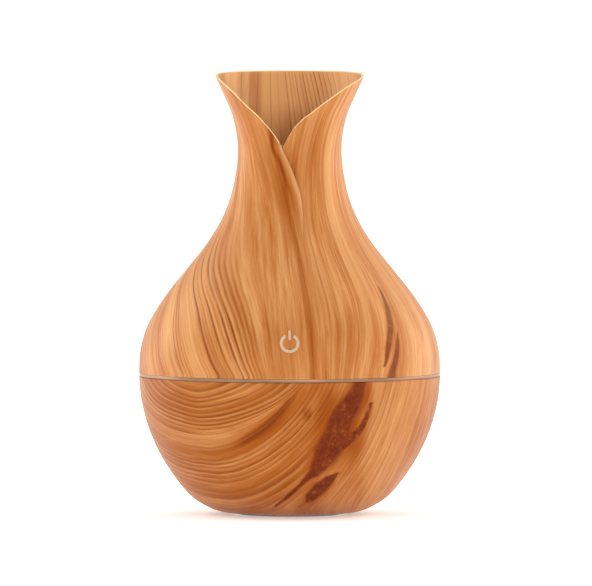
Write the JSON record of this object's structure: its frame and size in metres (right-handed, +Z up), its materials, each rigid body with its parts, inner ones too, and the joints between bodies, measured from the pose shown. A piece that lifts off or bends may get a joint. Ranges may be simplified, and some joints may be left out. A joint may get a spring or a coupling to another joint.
{
  "type": "essential oil diffuser",
  "caption": "Vase-shaped ultrasonic oil diffuser with a folded petal collar, wood-grain body, silver seam ring, lift-off top over a water tank and a cotton wick.",
  "frame": {"origin": "centre of the foot's underside, where the diffuser stands", "axes": "+Z up along the axis of the vase; -Y is the front, with the open side of the collar and the touch symbol; +X to the right seen from the front"},
  "size_m": [0.1, 0.1, 0.1465],
  "materials": {
    "wood_print": "satin wood-grain film over moulded plastic",
    "white_plastic": "fine moulded texture",
    "silver_ring": "silver-grey, slightly translucent",
    "frosted_plastic": "frosted light guide",
    "silicone": "matte, translucent",
    "rubber_grey": "matte",
    "steel": "plain",
    "piezo_ceramic": "matte, silvered",
    "cotton": "bonded fibre",
    "circuit_board": "green solder mask",
    "component_black": "moulded black",
    "led_body": "clear lens over white",
    "lead_red": "insulated lead",
    "lead_white": "insulated lead"
  },
  "bodies": {
    "tank": {"tank_bowl": "wood_print", "foot_pad": "rubber_grey"},
    "seal": {"seal_ring": "silicone"},
    "top": {"vase_shell": "wood_print", "light_ring": "silver_ring", "touch_icon": "frosted_plastic", "touch_board": "circuit_board", "symbol_led": "led_body", "touch_lead": "lead_white", "chassis": "white_plastic", "plug_ring": "white_plastic", "atomizer_tower": "white_plastic", "chassis_screw_1": "steel", "chassis_screw_2": "steel", "chassis_screw_3": "steel", "chassis_screw_4": "steel", "lower_gasket": "silicone", "mesh_plate": "steel", "piezo_ring": "piezo_ceramic", "upper_gasket": "silicone", "atomizer_cap": "white_plastic", "cap_screw_1": "steel", "cap_screw_2": "steel", "cap_screw_3": "steel", "piezo_lead_red": "lead_red", "piezo_lead_black": "component_black", "mist_throat": "white_plastic", "main_board": "circuit_board", "board_screw_1": "steel", "board_screw_2": "steel", "board_screw_3": "steel", "controller_chip": "component_black", "power_transistor": "component_black", "inductor": "component_black", "capacitor": "steel", "piezo_plug": "white_plastic", "touch_plug": "white_plastic", "led_1": "led_body", "led_2": "led_body", "led_3": "led_body", "led_4": "led_body", "led_5": "led_body", "led_6": "led_body", "usb_socket": "steel", "usb_tongue": "component_black"},
    "wick_unit": {"wick_tube": "white_plastic", "wick_cap": "white_plastic", "wick": "cotton", "wick_spring": "steel"}
  },
  "joints": [
    {"name": "top_lift", "type": "slide", "parent": "tank", "child": "seal", "axis": [0, 0, 1], "range_m": [0, 0.08]},
    {"name": "top_twist", "type": "hinge", "parent": "seal", "child": "top", "pos_m": [0, 0, 0.046], "axis": [0, 0, 1], "continuous": true},
    {"name": "wick_tube_turn", "type": "hinge", "parent": "top", "child": "wick_unit", "pos_m": [0, 0, 0.046], "axis": [0, 0, 1], "continuous": true}
  ]
}
